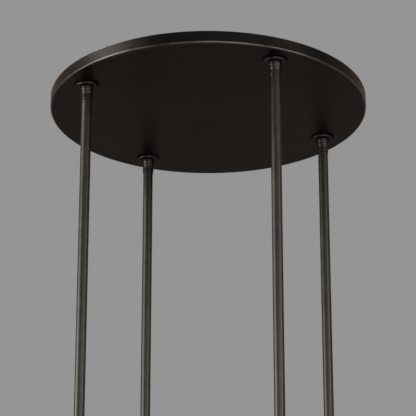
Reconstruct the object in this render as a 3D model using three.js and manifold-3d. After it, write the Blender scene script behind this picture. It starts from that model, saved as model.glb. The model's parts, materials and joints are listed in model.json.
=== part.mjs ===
// Round ceiling canopy with four hollow drop stems, each hung on its own ball swivel.
// Millimetres, +Z up. The origin is the middle of the face where the bracket meets the ceiling.
// A pressed cross bracket carries the stems, and the spun pan only hides it: the four seat rings
// clamp the pan up under the bracket.

import * as THREE from "three";
import { mergeVertices } from "three/addons/utils/BufferGeometryUtils.js";
import Module from "manifold-3d";

const wasm = await Module();
wasm.setup();

// Canopy pan
const canopyDiameter = 508;
const canopyHeight = 20.3; // ceiling to underside
const canopyWall = 1.6;
const canopyEdgeRadius = 2.2; // outer bend between side wall and underside
const ceilingReveal = 0.6; // shadow line between the rim and the ceiling
const canopyHoleGap = 0.7; // round each swivel cup

// Stems
const stemInset = 38.5; // canopy edge to stem axis
const stemDiameter = 15.9;
const stemWall = 1.2;
const stemLength = 610;

// Cross bracket
const bracketThickness = 2.5;
const hubDiameter = 124;
const armWidth = 46;
const padLength = 50; // flat length of an arm's lowered pad, measured in from its outer end
const joggleRun = 12; // length of the sloping step between hub level and pad level
const lipHeight = 6; // turned-down stiffening edges of the arms
const lipSetback = 8; // from the hub, and from the joggle
const boxSlotSpacing = 79.4; // middle to middle, fits the usual round ceiling boxes
const boxSlotLength = 15;
const boxSlotWidth = 5.2;
const joistSlotLength = 18;
const joistSlotWidth = 6.5;

// Wiring fittings on the hub
const wireHoleDiameter = 22;
const wireHoleOffset = 30; // behind the hub's middle
const grommetBore = 15;
const grommetFlange = 4; // how far the rubber lips reach past the hole
const grommetLip = 1.8; // thickness of each rubber lip
const blockLength = 34;
const blockDepth = 16;
const blockHeight = 9.5;
const blockOffset = 32; // in front of the hub's middle
const blockWays = 3;
const wayCrown = 8.6; // width of the flat under each way, between its two shoulders
const shoulderDrop = 5.2; // from the block's top to where the shoulders start
const wayDiameter = 3.6;
const clampScrewDiameter = 4.4;
const clampScrewDepth = 2.5;
const earthX = 40;
const earthY = 26;
const earthShank = 4.2;
const earthHeadDiameter = 9;
const earthHeadHeight = 3.2;
const earthCrownDiameter = 5.6; // flat middle of the domed head
const earthCrownRise = 1.3; // height of the domed part

// Swivel cup and its threaded nipple
const cupDiameter = 20.2; // through the canopy and the seat ring
const neckHeight = 13.5; // seat ring to the mouth
const neckMiddleDiameter = 18.4;
const neckMouthDiameter = 16.8;
const shoulderHeight = 1.2; // each of the neck's two sloping steps
const mouthBore = 14;
const mouthDome = 14.5; // radius of the mouth's rounded face, about the ball's centre
const nippleDiameter = 16;
const nippleBore = 10;
const nippleTopGap = 1.5; // to the ceiling
const nippleProud = 1.2; // above its nut
const lockNutFlats = 24;
const lockNutHeight = 5;
const lockWasherDiameter = 26;
const lockWasherThickness = 1.3;

// Ball, seats and coupler
const ballDiameter = 13;
const studDiameter = 7.6;
const studBore = 5;
const seatThickness = 1.2;
const seatLowAngle = 40; // degrees below the ball's equator
const seatHighAngle = 3;
const lipAngle = 45; // where the cup's inner sphere ends
const upperSeatFoot = 1.5; // above the ball's centre
const upperSeatTop = 7.2;
const beadDiameter = 18.6;
const beadHeight = 2.4;
const grooveDepth = 0.6;
const grooveHeight = 0.7;
const sleeveDiameter = 17.5;
const sleeveHeight = 6.3;
const spigotLength = 12;
const studEngagement = 13; // of the stud in the coupler

// Seat ring under the canopy
const ringDiameter = 38;
const ringThickness = 4;
const ringStep = 1.2; // set back at the top, so that the ring stands off in shadow
const ringStepHeight = 0.9;
const ringEdge = 0.8;

// Foot of each stem, where a lamp body is clamped
const footFlangeDiameter = 22;
const footFlangeThickness = 3;
const footThread = 12.7;
const footBore = 8;
const frameGrip = 6; // room between flange and washer for a lamp frame
const footWasherDiameter = 24;
const footWasherThickness = 1.5;
const footNutFlats = 19;
const footNutHeight = 6;
const footProud = 3; // thread showing under the nut

// Clearances and the number of sides of round pieces
const runGap = 0.3; // round threads, spigots and between the swivel's spheres
const dishGap = 0.4; // between the cup's mouth and the coupler's dish
const seatGap = 0.1; // between stacked flat faces
const rimSides = 88;
const hubSides = 40;
const ringSides = 24;
const turnedSides = 20;
const ballSides = 16;
const fastenerSides = 12;
const slotSides = 6; // round each end
const arcStep = 20; // degrees between points of a turned arc
const overcut = 2; // how far a cutting tool stands past what it cuts

// Levels, downwards from the ceiling
const canopyTop = -ceilingReveal;
const canopyUnderside = -canopyHeight;
const nippleTop = -nippleTopGap;
const lockNutTop = nippleTop - nippleProud;
const lockNutBottom = lockNutTop - lockNutHeight;
const lockWasherTop = lockNutBottom - seatGap;
const lockWasherBottom = lockWasherTop - lockWasherThickness;
const padTop = lockWasherBottom - seatGap;
const padBottom = padTop - bracketThickness;
const cupTop = padBottom - seatGap;
const ringTop = canopyUnderside - seatGap;
const neckTop = ringTop - ringThickness;
const mouthLevel = neckTop - neckHeight;
const ballLevel = mouthLevel + Math.sqrt(mouthDome ** 2 - (neckMouthDiameter / 2) ** 2);
const nippleBottom = ballLevel + upperSeatTop + seatGap;
const dishRadius = mouthDome + dishGap;
const beadTop = ballLevel - Math.sqrt(dishRadius ** 2 - (beadDiameter / 2) ** 2);
const beadBottom = beadTop - beadHeight;
const sleeveTop = beadBottom - grooveHeight;
const sleeveBottom = sleeveTop - sleeveHeight;
const stemTop = sleeveBottom - seatGap;
const stemBottom = stemTop - stemLength;
const flangeTop = stemBottom - seatGap;
const flangeBottom = flangeTop - footFlangeThickness;
const footWasherTop = flangeBottom - frameGrip;
const footWasherBottom = footWasherTop - footWasherThickness;
const footNutTop = footWasherBottom - seatGap;
const footNutBottom = footNutTop - footNutHeight;
const footBottom = footNutBottom - footProud;

// Radii that several pieces share
const canopyRadius = canopyDiameter / 2;
const stemCircle = canopyRadius - stemInset;
const cupRadius = cupDiameter / 2;
const ballRadius = ballDiameter / 2;
const seatInner = ballRadius + runGap;
const seatOuter = seatInner + seatThickness;
const cupInner = seatOuter + runGap;
const spigotRadius = stemDiameter / 2 - stemWall - runGap;

const darkBronze = { color: 0x2a2622, roughness: 0.42, metalness: 0.85 };
const darkPan = { color: 0x262220, roughness: 0.5, metalness: 0.7 };
const zincSteel = { color: 0x9a9c9c, roughness: 0.45, metalness: 0.9 };
const rawBrass = { color: 0xa8894f, roughness: 0.38, metalness: 0.95 };
const bronzeSeat = { color: 0x8c6a3c, roughness: 0.5, metalness: 0.9 };
const nylon = { color: 0xe6e2d6, roughness: 0.6, metalness: 0 };
const blackRubber = { color: 0x161616, roughness: 0.8, metalness: 0 };
const blockPlastic = { color: 0xe9e7df, roughness: 0.5, metalness: 0 };

const radians = THREE.MathUtils.degToRad;

// Turns a closed geometry into a solid that can be cut and joined.
function toSolid(geometry) {
  const bare = geometry.clone();
  bare.deleteAttribute("normal");
  bare.deleteAttribute("uv");
  const merged = mergeVertices(bare, 1e-4);
  return new wasm.Manifold(
    new wasm.Mesh({
      numProp: 3,
      vertProperties: merged.attributes.position.array,
      triVerts: new Uint32Array(merged.index.array),
    }),
  );
}

function toGeometry(solid) {
  const mesh = solid.getMesh();
  const geometry = new THREE.BufferGeometry();
  geometry.setAttribute("position", new THREE.BufferAttribute(mesh.vertProperties, 3));
  geometry.setIndex(new THREE.BufferAttribute(mesh.triVerts, 1));
  geometry.computeVertexNormals();
  return geometry;
}

function cutFrom(body, tools) {
  const cut = tools.reduce((left, tool) => left.subtract(toSolid(tool)), toSolid(body));
  return toGeometry(cut);
}

// A piece turned on a lathe: [radius, height] points, anticlockwise, closed on themselves.
function turned(profile, sides) {
  return turnedSolid([...profile, profile[0]], sides);
}

// Points of a turned arc about a centre on the axis, angles in degrees from the horizontal.
function arc(centreHeight, radius, fromAngle, toAngle) {
  const steps = Math.max(1, Math.ceil(Math.abs(toAngle - fromAngle) / arcStep));
  return Array.from({ length: steps + 1 }, (unused, step) => {
    const angle = radians(fromAngle + ((toAngle - fromAngle) * step) / steps);
    return [radius * Math.cos(angle), centreHeight + radius * Math.sin(angle)];
  });
}

// The angle at which a sphere reaches a given distance from the axis, on its lower or upper half.
function angleAtRadius(radius, distance) {
  return THREE.MathUtils.radToDeg(Math.acos(distance / radius));
}

function ring(innerRadius, outerRadius, bottom, top, sides) {
  const profile = [[innerRadius, bottom], [outerRadius, bottom], [outerRadius, top], [innerRadius, top]];
  return turned(profile, sides);
}

// A piece without a bore: [radius, height] points from the axis at the bottom to the axis at the top.
function turnedSolid(profile, sides) {
  const points = profile.map(([radius, height]) => new THREE.Vector2(radius, height));
  return new THREE.LatheGeometry(points, sides).rotateX(Math.PI / 2);
}

// A solid rod along Z.
function rod(radius, bottom, top, sides) {
  return new THREE.CylinderGeometry(radius, radius, top - bottom, sides)
    .rotateX(Math.PI / 2)
    .translate(0, 0, (top + bottom) / 2);
}

// An outline drawn in X and Y, raised from one level to another.
function raised(outline, bottom, top, curveSegments = slotSides) {
  return new THREE.ExtrudeGeometry(outline, { depth: top - bottom, bevelEnabled: false, curveSegments })
    .translate(0, 0, bottom);
}

// A side view drawn in X and Z, given a width along Y that is centred on a line.
function sideways(points, width, middle) {
  const outline = new THREE.Shape(points.map(([along, height]) => new THREE.Vector2(along, height)));
  return new THREE.ExtrudeGeometry(outline, { depth: width, bevelEnabled: false })
    .rotateX(Math.PI / 2)
    .translate(0, middle + width / 2, 0);
}

function slotOutline(x, y, length, width) {
  const reach = (length - width) / 2;
  return new THREE.Shape()
    .absarc(x + reach, y, width / 2, -Math.PI / 2, Math.PI / 2)
    .absarc(x - reach, y, width / 2, Math.PI / 2, (3 * Math.PI) / 2);
}

function nut(flats, bore, bottom, top) {
  const corner = flats / Math.sqrt(3);
  const outline = new THREE.Shape(
    Array.from({ length: 6 }, (unused, side) => {
      const angle = radians(60 * side);
      return new THREE.Vector2(corner * Math.cos(angle), corner * Math.sin(angle));
    }),
  );
  outline.holes.push(new THREE.Path().absarc(0, 0, bore / 2, 0, 2 * Math.PI, true));
  return raised(outline, bottom, top);
}

// The open-topped pan: flat underside, one rounded bend and a plain side wall.
function canopyPan(stemPlaces) {
  const floorTop = canopyUnderside + canopyWall;
  const innerRadius = canopyRadius - canopyWall;
  const innerBend = canopyEdgeRadius - canopyWall;
  const bend = arc(0, canopyEdgeRadius, -90, 0).map(([across, up]) => [
    canopyRadius - canopyEdgeRadius + across,
    canopyUnderside + canopyEdgeRadius + up,
  ]);
  const profile = [
    [0, canopyUnderside],
    ...bend,
    [canopyRadius, canopyTop],
    [innerRadius, canopyTop],
    [innerRadius, floorTop + innerBend],
    [innerRadius - innerBend, floorTop],
    [0, floorTop],
  ];
  const holeRadius = cupRadius + canopyHoleGap;
  const holes = stemPlaces.map(({ x, y }) =>
    rod(holeRadius, canopyUnderside - overcut, floorTop + overcut, turnedSides).translate(x, y, 0),
  );
  return cutFrom(turnedSolid(profile, rimSides), holes);
}

// One arm along +X: a strip with a round end, stepped down to its pad, with turned-down edges.
function bracketArm() {
  const half = armWidth / 2;
  const end = stemCircle + half;
  const padStart = end - padLength;
  const joggleStart = padStart - joggleRun;
  const strip = sideways(
    [
      [0, -bracketThickness],
      [joggleStart, -bracketThickness],
      [padStart, padBottom],
      [end, padBottom],
      [end, padTop],
      [padStart, padTop],
      [joggleStart, 0],
      [0, 0],
    ],
    armWidth,
    0,
  );
  const plan = new THREE.Shape()
    .moveTo(0, -half)
    .lineTo(stemCircle, -half)
    .absarc(stemCircle, 0, half, -Math.PI / 2, Math.PI / 2)
    .lineTo(0, half);
  const lipStart = hubDiameter / 2 + lipSetback;
  const lipEnd = joggleStart - lipSetback;
  const lipBottom = -bracketThickness - lipHeight;
  const lip = [
    [lipStart, -bracketThickness / 2],
    [lipStart, -bracketThickness],
    [lipStart + lipHeight, lipBottom],
    [lipEnd - lipHeight, lipBottom],
    [lipEnd, -bracketThickness],
    [lipEnd, -bracketThickness / 2],
  ];
  const lipMiddle = half - bracketThickness / 2;
  const joistSlot = slotOutline((lipStart + lipEnd) / 2, 0, joistSlotLength, joistSlotWidth);
  const nippleHole = rod(nippleDiameter / 2 + runGap, padBottom - overcut, overcut, turnedSides);
  return toSolid(strip)
    .intersect(toSolid(raised(plan, padBottom - overcut, overcut, turnedSides / 2)))
    .add(toSolid(sideways(lip, bracketThickness, lipMiddle)))
    .add(toSolid(sideways(lip, bracketThickness, -lipMiddle)))
    .subtract(toSolid(raised(joistSlot, lipBottom, overcut)))
    .subtract(toSolid(nippleHole.translate(stemCircle, 0, 0)));
}

function mountingBracket(stemPlaces) {
  const arm = bracketArm();
  const hub = toSolid(rod(hubDiameter / 2, -bracketThickness, 0, hubSides));
  const cross = stemPlaces.reduce(
    (joined, { turn }) => joined.add(arm.rotate([0, 0, THREE.MathUtils.radToDeg(turn)])),
    hub,
  );
  const toolBottom = -bracketThickness - overcut;
  const boxSlots = [-1, 1].map((side) =>
    slotOutline((side * boxSlotSpacing) / 2, 0, boxSlotLength, boxSlotWidth),
  );
  const tools = [
    rod(wireHoleDiameter / 2, toolBottom, overcut, turnedSides).translate(0, wireHoleOffset, 0),
    rod(earthShank / 2 + runGap, toolBottom, overcut, fastenerSides).translate(earthX, earthY, 0),
    ...boxSlots.map((outline) => raised(outline, toolBottom, overcut)),
  ];
  return toGeometry(tools.reduce((left, tool) => left.subtract(toSolid(tool)), cross));
}

// Rubber ring with a groove that the hub's edge sits in.
function wireGrommet() {
  const holeRadius = wireHoleDiameter / 2 - runGap;
  const lipRadius = wireHoleDiameter / 2 + grommetFlange;
  const grooveTop = -seatGap;
  const grooveBottom = -bracketThickness - seatGap;
  return turned(
    [
      [grommetBore / 2, grooveBottom - grommetLip],
      [lipRadius - grommetLip / 2, grooveBottom - grommetLip],
      [lipRadius, grooveBottom - grommetLip / 2],
      [lipRadius, grooveBottom],
      [holeRadius, grooveBottom],
      [holeRadius, grooveTop],
      [grommetBore / 2, grooveTop],
    ],
    turnedSides,
  ).translate(0, wireHoleOffset, 0);
}

// Terminal block: one barrel for each way, wire entries through it and clamp screw wells below.
function terminalBlock() {
  const top = -bracketThickness - seatGap;
  const bottom = top - blockHeight;
  const pitch = blockLength / blockWays;
  const half = blockLength / 2;
  const crown = wayCrown / 2;
  const shoulder = top - shoulderDrop;
  const places = Array.from({ length: blockWays }, (unused, way) => way * pitch + pitch / 2 - half);
  const outline = [[-half, top], [-half, shoulder]];
  places.forEach((x) => {
    outline.push([x - crown, bottom], [x + crown, bottom], [x + pitch / 2, shoulder]);
  });
  outline.push([half, top]);
  const body = sideways(outline, blockDepth, -blockOffset);
  const entryLevel = (top + bottom) / 2;
  const entries = places.map((x) =>
    rod(wayDiameter / 2, -blockDepth, blockDepth, fastenerSides)
      .rotateX(Math.PI / 2)
      .translate(x, -blockOffset, entryLevel),
  );
  const wells = places.map((x) =>
    rod(clampScrewDiameter / 2, bottom - overcut, bottom + clampScrewDepth, fastenerSides)
      .translate(x, -blockOffset, 0),
  );
  return cutFrom(body, [...entries, ...wells]);
}

function earthScrew() {
  const headTop = -bracketThickness - seatGap;
  const headBottom = headTop - earthHeadHeight;
  const headRadius = earthHeadDiameter / 2;
  const profile = [
    [0, headBottom],
    [earthCrownDiameter / 2, headBottom],
    [headRadius, headBottom + earthCrownRise],
    [headRadius, headTop],
    [earthShank / 2, headTop],
    [earthShank / 2, -seatGap],
    [0, -seatGap],
  ];
  return turnedSolid(profile, fastenerSides).translate(earthX, earthY, 0);
}

// Ring threaded on the swivel cup, which clamps the pan from below.
function seatRing() {
  const inner = cupRadius + runGap;
  const outer = ringDiameter / 2;
  return turned(
    [
      [inner, neckTop],
      [outer - ringEdge, neckTop],
      [outer, neckTop + ringEdge],
      [outer, ringTop - ringStepHeight],
      [outer - ringStep, ringTop - ringStepHeight],
      [outer - ringStep, ringTop],
      [inner, ringTop],
    ],
    ringSides,
  );
}

// Swivel cup: straight through the canopy, two soft steps down the neck, domed mouth.
// Inside, a straight threaded bore ends in the sphere that carries the lower seat.
function swivelCup() {
  const mouthRadius = neckMouthDiameter / 2;
  const middleRadius = neckMiddleDiameter / 2;
  const third = neckHeight / 3;
  const lipRadius = cupInner * Math.cos(radians(lipAngle));
  const lipLevel = ballLevel - cupInner * Math.sin(radians(lipAngle));
  const domeLevel = ballLevel - Math.sqrt(mouthDome ** 2 - (mouthBore / 2) ** 2);
  return turned(
    [
      [mouthBore / 2, domeLevel],
      [mouthRadius, mouthLevel],
      [mouthRadius, neckTop - 2 * third - shoulderHeight],
      [middleRadius, neckTop - 2 * third],
      [middleRadius, neckTop - third - shoulderHeight],
      [cupRadius, neckTop - third],
      [cupRadius, cupTop],
      [cupInner, cupTop],
      ...arc(ballLevel, cupInner, 0, -lipAngle),
      [lipRadius, lipLevel - seatThickness],
    ],
    turnedSides,
  );
}

function stemNipple() {
  return ring(nippleBore / 2, nippleDiameter / 2, nippleBottom, nippleTop, fastenerSides);
}

// The loose bronze washer that carries the ball: a band of a spherical shell.
function lowerSeat() {
  return turned(
    [
      ...arc(ballLevel, seatOuter, -seatLowAngle, -seatHighAngle),
      ...arc(ballLevel, seatInner, -seatHighAngle, -seatLowAngle),
    ],
    ballSides,
  );
}

// The fixed ring above the ball, held down by the nipple.
function upperSeat() {
  const footAngle = THREE.MathUtils.radToDeg(Math.asin(upperSeatFoot / seatInner));
  const boreAngle = angleAtRadius(seatInner, nippleBore / 2 - seatThickness);
  return turned(
    [
      [seatOuter, ballLevel + upperSeatFoot],
      [seatOuter, ballLevel + upperSeatTop],
      [nippleBore / 2 - seatThickness, ballLevel + upperSeatTop],
      ...arc(ballLevel, seatInner, boreAngle, footAngle),
    ],
    ballSides,
  );
}

// Ball and hollow threaded stud in one turned piece.
function ballStud() {
  const stud = studDiameter / 2;
  const bore = studBore / 2;
  const bottom = ballLevel - dishRadius - studEngagement;
  return turned(
    [
      [bore, bottom],
      [stud, bottom],
      ...arc(ballLevel, ballRadius, -angleAtRadius(ballRadius, stud), angleAtRadius(ballRadius, bore)),
    ],
    ballSides,
  );
}

// Coupler: dished top that slides under the cup's mouth, bead, groove, sleeve and stem spigot.
function stemCoupler() {
  const bore = studDiameter / 2 + runGap;
  const bead = beadDiameter / 2;
  const groove = sleeveDiameter / 2 - grooveDepth;
  const sleeve = sleeveDiameter / 2;
  const spigotBottom = sleeveBottom - spigotLength;
  return turned(
    [
      [bore, spigotBottom],
      [spigotRadius, spigotBottom],
      [spigotRadius, sleeveBottom],
      [groove, sleeveBottom],
      [sleeve, sleeveBottom + grooveDepth],
      [sleeve, sleeveTop],
      [groove, sleeveTop],
      [groove, beadBottom],
      [bead, beadBottom + grooveDepth],
      ...arc(ballLevel, dishRadius, -angleAtRadius(dishRadius, bead), -angleAtRadius(dishRadius, bore)),
    ],
    turnedSides,
  );
}

function stemTube() {
  const outer = stemDiameter / 2;
  return ring(outer - stemWall, outer, stemBottom, stemTop, turnedSides);
}

// Foot: spigot up into the stem, flange that a lamp frame hangs under, and threaded shank.
function stemFoot() {
  const bore = footBore / 2;
  const thread = footThread / 2;
  const flange = footFlangeDiameter / 2;
  return turned(
    [
      [bore, footBottom],
      [thread, footBottom],
      [thread, flangeBottom],
      [flange, flangeBottom],
      [flange, flangeTop],
      [spigotRadius, flangeTop],
      [spigotRadius, flangeTop + spigotLength],
      [bore, flangeTop + spigotLength],
    ],
    turnedSides,
  );
}

function piece(name, geometry, finish) {
  const mesh = new THREE.Mesh(geometry, new THREE.MeshStandardMaterial(finish));
  mesh.name = name;
  return mesh;
}

// Everything that repeats at each stem, built on the stem's axis.
function drop(place) {
  const group = new THREE.Group();
  const nippleThread = nippleDiameter + 2 * runGap;
  const footNutBore = footThread + 2 * runGap;
  const parts = [
    ["seat_ring", seatRing(), darkBronze],
    ["swivel_cup", swivelCup(), darkBronze],
    ["stem_nipple", stemNipple(), rawBrass],
    ["lock_nut", nut(lockNutFlats, nippleThread, lockNutBottom, lockNutTop), zincSteel],
    [
      "lock_washer",
      ring(nippleThread / 2, lockWasherDiameter / 2, lockWasherBottom, lockWasherTop, fastenerSides),
      zincSteel,
    ],
    ["upper_seat", upperSeat(), nylon],
    ["lower_seat", lowerSeat(), bronzeSeat],
    ["ball_stud", ballStud(), rawBrass],
    ["stem_coupler", stemCoupler(), darkBronze],
    ["stem_tube", stemTube(), darkBronze],
    ["stem_foot", stemFoot(), rawBrass],
    [
      "foot_washer",
      ring(footNutBore / 2, footWasherDiameter / 2, footWasherBottom, footWasherTop, fastenerSides),
      zincSteel,
    ],
    ["foot_nut", nut(footNutFlats, footNutBore, footNutBottom, footNutTop), zincSteel],
  ];
  parts.forEach(([name, geometry, finish]) =>
    group.add(piece(`${name}_${place.corner}`, geometry, finish)),
  );
  group.position.set(place.x, place.y, 0);
  return group;
}

// The four stems stand on the diagonals, equally far from the canopy's edge.
const places = ["back_right", "back_left", "front_left", "front_right"].map((corner, quarter) => {
  const turn = Math.PI / 4 + (quarter * Math.PI) / 2;
  return { corner, turn, x: stemCircle * Math.cos(turn), y: stemCircle * Math.sin(turn) };
});

const chandelierCanopy = new THREE.Group();
chandelierCanopy.add(
  piece("mounting_bracket", mountingBracket(places), zincSteel),
  piece("canopy_pan", canopyPan(places), darkPan),
  piece("wire_grommet", wireGrommet(), blackRubber),
  piece("terminal_block", terminalBlock(), blockPlastic),
  piece("earth_screw", earthScrew(), rawBrass),
  ...places.map(drop),
);

export default chandelierCanopy;
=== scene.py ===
"""Looks for a round ceiling canopy with four hollow drop stems, each hung on its own ball swivel.

The classes hold their sizes in millimetres, and a mesh becomes metres where it is made. Each piece
takes the place of a plain solid of the frame, but for the brass in the terminal block, which is
added to it.
"""

from __future__ import annotations

import json
import logging
import math
from collections.abc import Sequence
from dataclasses import dataclass
from enum import Enum
from functools import cache

import bmesh
import bpy
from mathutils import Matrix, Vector
from mathutils.geometry import delaunay_2d_cdt


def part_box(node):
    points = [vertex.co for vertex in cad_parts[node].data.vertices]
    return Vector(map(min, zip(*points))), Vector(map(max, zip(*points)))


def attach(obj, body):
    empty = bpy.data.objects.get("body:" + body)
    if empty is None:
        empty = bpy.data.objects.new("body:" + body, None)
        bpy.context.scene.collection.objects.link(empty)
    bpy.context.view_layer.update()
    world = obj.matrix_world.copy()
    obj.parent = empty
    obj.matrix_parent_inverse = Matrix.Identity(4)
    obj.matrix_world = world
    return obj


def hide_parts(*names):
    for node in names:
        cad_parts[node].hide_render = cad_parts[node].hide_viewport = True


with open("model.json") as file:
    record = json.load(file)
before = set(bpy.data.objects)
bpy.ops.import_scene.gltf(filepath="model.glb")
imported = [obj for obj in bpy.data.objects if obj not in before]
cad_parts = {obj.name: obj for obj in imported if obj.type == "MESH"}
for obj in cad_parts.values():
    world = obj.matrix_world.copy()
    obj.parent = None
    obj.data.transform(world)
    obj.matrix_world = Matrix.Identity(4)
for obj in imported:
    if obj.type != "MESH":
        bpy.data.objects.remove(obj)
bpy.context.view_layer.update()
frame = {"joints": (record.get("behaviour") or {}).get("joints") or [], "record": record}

Point = tuple[float, float]
Place = tuple[float, float, float]
Colour = tuple[float, float, float]
Hole = tuple[float, float, float]
Section = list[Point]
Mesh = bpy.types.Mesh
Socket = bpy.types.NodeSocket

MM = 0.001
ROUNDING_STEP = math.radians(16)  # most that one facet of a rounded corner turns
LEAST_STEPS = 2  # fewest facets of a rounded corner
ROUNDING_SHARE = 0.49  # most of a neighbouring length that a rounded corner takes
LEAST_STRIP = 0.12  # width of the narrowest strip beside a rounding
STRIP_SHARE = 0.6  # width of a wider one, as a share of the rounding's radius
STRIP_ROOM = 4  # a side has a strip where it is longer than this many of them
ARC_STEP = 5.0  # most degrees between two points of an arc
SLOT_STEPS = 10  # facets of a slot's round end
SHARP_ANGLE = math.radians(38)  # edges that turn more than this stay crisp
BEND_ANGLE = math.radians(60)  # the same for pressed sheet, whose bends stay whole
EDGE_SEGMENTS = 2  # facets across a broken edge
MERGE_DISTANCE = 2e-6  # metres between points that are one
PLAN_TOLERANCE = 1e-5  # millimetres between points of a flat plan that are one
FOLD_TOLERANCE = 1e-5  # metres across which a folded edge joins its sheet
LEVEL_TOLERANCE = 1e-7  # metres between heights that are one
TOOL_REACH = 4.0  # how far a cutting tool stands past what it cuts
OVERRUN = 1.0  # how far a shape runs on past an edge that it only has to clear
FAR_DOWN = 99.0  # where the corners lie that only close a side view
FACE_GAP = 0.1  # what stands between two faces that lie on each other
CORE_DEPTH = 1.15  # how deep a thread's plain shank lies, as a share of the thread's depth
THREAD_TURN = (0.12, 0.5, 0.62)  # parts of a turn where its root ends and its crest lies
RUBBED_AND_HIGHLIT_EDGE = (0.506, 0.517)  # pointiness where rubbing and the pan's painted edge highlight start, and where they are full
RUBBED_AND_HIGHLIT_PATCH = ((0.3, 0.6), (0.35, 1.0))  # how the patches thin out the rubbing and the painted edge highlight
PATCH_EDGE = (0.36, 0.66)  # noise where a patch starts, and where it is full
PATCH_SHARE = 0.7  # how much of the tone comes from patches, and not from marks
TONE_SPAN = (0.1, 0.85)  # tones between which the roughness changes
DRAWN_SQUEEZE = 0.02  # how much the marks of drawing are pulled out along the axis
PLATE_FINENESS = 3  # grains of noise to one cell of plating
PLATE_SHARE = 0.6  # brings the cells and the noise of plating back to a span of 0 to 1
QUARTER_TURN = 0.25  # turns the stretched shine across the axis
PIECE_SHIFT = 17.0  # how far the noise moves from piece to piece
MARK_DETAIL, RING_DETAIL, CLOUD_DETAIL = 3.0, 4.0, 5.0  # finer layers in each kind of noise
NOISE_ROUGHNESS = 0.62  # how strong each finer layer of noise is beside the one before
MIX_FIRST, MIX_SECOND, MIX_RESULT = 6, 7, 2  # the colour sockets of Blender's mix node
ARM_TURNS = tuple(math.pi / 4 + quarter * math.pi / 2 for quarter in range(4))

log = logging.getLogger("canopy")
BODIES = frame["record"]["behaviour"]["bodies"]
BODY_OF = {node: body for body, nodes in BODIES.items() for node in nodes}


# Side views


@dataclass(frozen=True)
class Corner:
    """One corner of a side view: distance from the axis, height, and the radius that rounds it."""

    out: float
    up: float
    rounding: float = 0.0


def filleted(before: Corner, corner: Corner, after: Corner) -> Section:
    """The points that take a corner's place: itself, or the arc that rounds it.

    Args:
        before: the corner before it.
        corner: the corner to round.
        after: the corner after it.

    Returns:
        The corner's own point, or the points of its arc in order.
    """
    at = Vector((corner.out, corner.up))
    if corner.rounding <= 0:
        return [(at.x, at.y)]
    back = Vector((before.out, before.up)) - at
    on = Vector((after.out, after.up)) - at
    half = back.angle(on) / 2
    room = ROUNDING_SHARE * min(back.length, on.length)
    reach = min(corner.rounding / math.tan(half), room)
    radius = reach * math.tan(half)
    centre = at + (back.normalized() + on.normalized()).normalized() * radius / math.sin(half)
    start = at + back.normalized() * reach - centre
    end = at + on.normalized() * reach - centre
    first = math.atan2(start.y, start.x)
    turn = (math.atan2(end.y, end.x) - first + math.pi) % math.tau - math.pi
    steps = max(LEAST_STEPS, math.ceil(abs(turn) / ROUNDING_STEP))
    angles = [first + turn * step / steps for step in range(steps + 1)]
    return [(centre.x + radius * math.cos(a), centre.y + radius * math.sin(a)) for a in angles]


def rounded(corners: Sequence[Corner]) -> Section:
    """Rounds the corners of a closed side view and ties each rounding to a narrow strip beside it.

    Args:
        corners: the corners in order round the view.

    Returns:
        The view's points, with an arc in place of each rounded corner.
    """
    count = len(corners)
    parts = [filleted(corners[k - 1], corners[k], corners[(k + 1) % count]) for k in range(count)]
    points: Section = []
    for k, part in enumerate(parts):
        points += part
        start, end = Vector(part[-1]), Vector(parts[(k + 1) % count][0])
        span = end - start
        for corner, origin, way in ((corners[k], start, 1), (corners[(k + 1) % count], end, -1)):
            strip = max(STRIP_SHARE * corner.rounding, LEAST_STRIP)
            if corner.rounding > 0 and span.length > STRIP_ROOM * strip:
                tie = origin + span.normalized() * strip * way
                points.append((tie.x, tie.y))
    return points


def arc(middle: float, radius: float, start: float, end: float) -> list[Corner]:
    """Corners along an arc about a point on the axis.

    Args:
        middle: height of the arc's centre.
        radius: radius of the arc.
        start: first angle in degrees above the horizontal.
        end: last angle in degrees above the horizontal.

    Returns:
        Unrounded corners from start to end.
    """
    steps = max(1, math.ceil(abs(end - start) / ARC_STEP))
    angles = [math.radians(start + (end - start) * k / steps) for k in range(steps + 1)]
    return [Corner(radius * math.cos(a), middle + radius * math.sin(a)) for a in angles]


def reach_angle(radius: float, out: float) -> float:
    """Degrees above the horizontal at which an arc about a point of the axis is so far out."""
    return math.degrees(math.acos(out / radius))


def circle_part(
    x: float, y: float, radius: float, start: float, end: float, steps: int
) -> Section:
    """Points along part of a circle, both ends among them."""
    angles = [start + (end - start) * k / steps for k in range(steps + 1)]
    return [(x + radius * math.cos(a), y + radius * math.sin(a)) for a in angles]


def circle(x: float, y: float, radius: float, sides: int) -> Section:
    """Points evenly round a circle, anticlockwise."""
    return circle_part(x, y, radius, 0.0, math.tau, sides)[:-1]


# Meshes


def placed(name: str, data: bpy.types.ID) -> bpy.types.Object:
    """Puts a new object into the scene.

    Args:
        name: the object's name.
        data: the mesh, lamp or camera that it holds.

    Returns:
        The object.
    """
    made = bpy.data.objects.new(name, data)
    bpy.context.scene.collection.objects.link(made)
    return made


def break_edges(carrier: bpy.types.Object, width: float, angle: float) -> None:
    """Gives a piece a modifier that breaks its edges.

    Args:
        carrier: the piece.
        width: width of the broken edges in millimetres.
        angle: how far an edge has to turn to be broken.
    """
    bevel = carrier.modifiers.new("edge", "BEVEL")
    bevel.width, bevel.segments = width * MM, EDGE_SEGMENTS
    bevel.limit_method, bevel.angle_limit = "ANGLE", angle
    bevel.use_clamp_overlap = False


def taken_off(carrier: bpy.types.Object, *helpers: bpy.types.Object) -> bmesh.types.BMesh:
    """The shape that a carrier's modifiers give. The carrier and its helpers are removed.

    Args:
        carrier: the object with the modifiers.
        *helpers: objects that its modifiers use.

    Returns:
        The shape, in metres.
    """
    shape = bmesh.new()
    shape.from_object(carrier, bpy.context.evaluated_depsgraph_get())
    for spare in (carrier, *helpers):
        bpy.data.objects.remove(spare)
    return shape


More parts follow.
